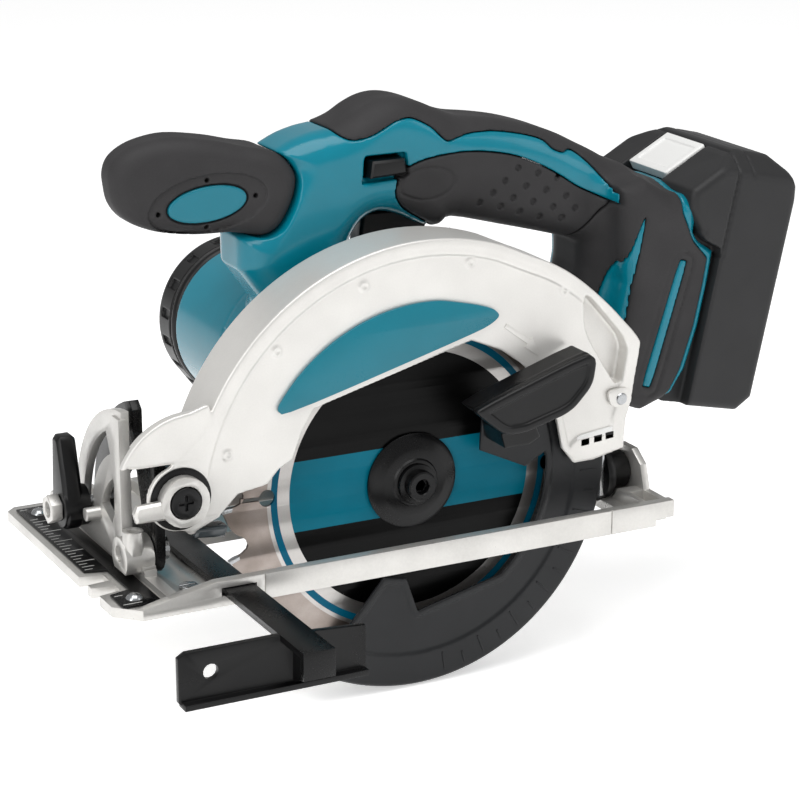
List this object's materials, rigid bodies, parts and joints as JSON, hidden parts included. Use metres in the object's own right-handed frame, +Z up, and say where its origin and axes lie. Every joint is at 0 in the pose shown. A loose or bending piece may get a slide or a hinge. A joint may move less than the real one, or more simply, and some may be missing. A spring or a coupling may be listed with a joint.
{
  "type": "circular saw",
  "caption": "Battery-powered circular saw with a die-cast base that tilts and swings for depth, a spring-returned lower guard, a rip fence and two handles.",
  "frame": {"origin": "on the sole, under the blade axis, 45 mm from the blade plane towards the motor", "axes": "+X to the rear of the saw (the cut runs towards -X), +Y from the blade to the motor, +Z up from the sole"},
  "size_m": [0.3218, 0.229, 0.2349],
  "materials": {
    "base_alloy": "die-cast, satin",
    "guard_alloy": "die-cast, fine satin",
    "teal_housing": "moulded, glossy",
    "teal_badge": "printed plate, glossy",
    "grip_rubber": "overmoulded, matte",
    "black_plastic": "moulded, fine grain",
    "lower_guard_plastic": "moulded, satin",
    "battery_shell": "moulded, satin",
    "button_white": "moulded, semi-gloss",
    "scale_strip": "black strip with plain white marks",
    "black_steel": "blackened, satin",
    "bright_steel": "machined",
    "blade_steel": "ground, with a printed disc",
    "copper_parts": "copper",
    "lamp_plastic": "frosted"
  },
  "bodies": {
    "base": {"base_plate": "base_alloy", "scale_plate": "scale_strip", "bevel_quadrant": "base_alloy", "front_bevel_pin": "bright_steel", "rear_bevel_pin": "bright_steel", "fence_clamp_screw": "bright_steel"},
    "fence": {"rip_fence": "black_steel"},
    "tilt_frame": {"tilt_bracket": "black_steel", "bevel_clamp_bolt": "bright_steel", "depth_pivot_ring": "base_alloy", "depth_pivot_screw": "black_plastic", "rear_tilt_bracket": "black_plastic", "depth_guide": "bright_steel"},
    "bevel_clamp": {"bevel_lever": "black_plastic", "bevel_lever_nut": "base_alloy"},
    "saw": {"blade_case": "guard_alloy", "guard_badge": "teal_badge", "lamp_lens": "lamp_plastic", "gear_housing": "base_alloy", "bearing_plate": "base_alloy", "front_spindle_bearing": "bright_steel", "rear_spindle_bearing": "bright_steel", "front_motor_bearing": "bright_steel", "rear_motor_bearing": "bright_steel", "stator": "bright_steel", "left_carbon_brush": "copper_parts", "right_carbon_brush": "copper_parts", "motor_housing": "teal_housing", "motor_end_cover": "black_plastic", "handle_left": "teal_housing", "handle_right": "teal_housing", "crown_rubber": "grip_rubber", "left_side_grip": "grip_rubber", "right_side_grip": "grip_rubber", "front_grip": "grip_rubber", "front_grip_badge": "teal_badge", "switch_body": "black_plastic", "battery_terminal": "black_plastic", "depth_clamp_bolt": "bright_steel", "guard_return_spring": "bright_steel", "hex_wrench": "black_steel"},
    "depth_clamp": {"depth_lever": "black_plastic"},
    "blade_guard": {"lower_guard": "lower_guard_plastic", "retract_lever": "black_plastic"},
    "blade_shaft": {"blade": "blade_steel", "outer_flange": "black_steel", "blade_bolt": "black_steel", "inner_flange": "bright_steel", "spindle": "bright_steel", "spindle_gear": "bright_steel"},
    "rotor": {"armature": "copper_parts", "pinion": "bright_steel", "commutator": "copper_parts", "cooling_fan": "black_plastic"},
    "trigger_key": {"trigger": "black_plastic"},
    "lock_off_key": {"lock_off_button": "black_plastic"},
    "shaft_lock_key": {"shaft_lock_button": "black_plastic"},
    "battery": {"battery_case": "battery_shell", "cell_pack": "bright_steel"},
    "battery_release": {"battery_button": "button_white"}
  },
  "joints": [
    {"name": "fence_slide", "type": "slide", "parent": "base", "child": "fence", "axis": [0, 1, 0], "range_m": [-0.05, 0.044]},
    {"name": "bevel_tilt", "type": "hinge", "parent": "base", "child": "tilt_frame", "pos_m": [0, -0.0415, 0.0135], "axis": [1, 0, 0], "range_deg": [0, 50]},
    {"name": "bevel_clamp_turn", "type": "hinge", "parent": "tilt_frame", "child": "bevel_clamp", "pos_m": [-0.1275, 0.00097, 0.02023], "axis": [1, 0, 0], "range_deg": [-50, 0]},
    {"name": "depth_swing", "type": "hinge", "parent": "tilt_frame", "child": "saw", "pos_m": [-0.104, -0.045, 0.038], "axis": [0, -1, 0], "range_deg": [0, 32]},
    {"name": "depth_clamp_turn", "type": "hinge", "parent": "saw", "child": "depth_clamp", "pos_m": [0.04591, -0.0256, 0.03277], "axis": [0, -1, 0], "range_deg": [0, 30]},
    {"name": "guard_swing", "type": "hinge", "parent": "saw", "child": "blade_guard", "pos_m": [0, -0.045, 0.0255], "axis": [0, -1, 0], "range_deg": [0, 100], "stiffness_Nm_per_rad": 0.15, "springref_deg": -28.65},
    {"name": "blade_spin", "type": "hinge", "parent": "saw", "child": "blade_shaft", "pos_m": [0, -0.045, 0.0255], "axis": [0, 1, 0], "continuous": true},
    {"name": "rotor_spin", "type": "hinge", "parent": "saw", "child": "rotor", "pos_m": [-0.01175, -0.045, 0.04757], "axis": [0, 1, 0], "continuous": true},
    {"name": "trigger_squeeze", "type": "slide", "parent": "saw", "child": "trigger_key", "axis": [0, 0, 1], "range_m": [0, 0.005], "stiffness_N_per_m": 400, "springref_m": -0.003},
    {"name": "lock_off_push", "type": "slide", "parent": "saw", "child": "lock_off_key", "axis": [0, 1, 0], "range_m": [0, 0.004], "stiffness_N_per_m": 400, "springref_m": -0.003},
    {"name": "shaft_lock_push", "type": "slide", "parent": "saw", "child": "shaft_lock_key", "axis": [-1, 0, 0], "range_m": [0, 0.002], "stiffness_N_per_m": 400, "springref_m": -0.003},
    {"name": "battery_slide", "type": "slide", "parent": "saw", "child": "battery", "axis": [0.2147, 0, 0.9767], "range_m": [0, 0.06]},
    {"name": "battery_release_push", "type": "slide", "parent": "battery", "child": "battery_release", "axis": [0.445, 0, -0.8955], "range_m": [0, 0.0025], "stiffness_N_per_m": 400, "springref_m": -0.003}
  ],
  "couplings": [
    {"joint": "rotor_spin", "follows": "blade_spin", "ratio": -4.5556}
  ]
}
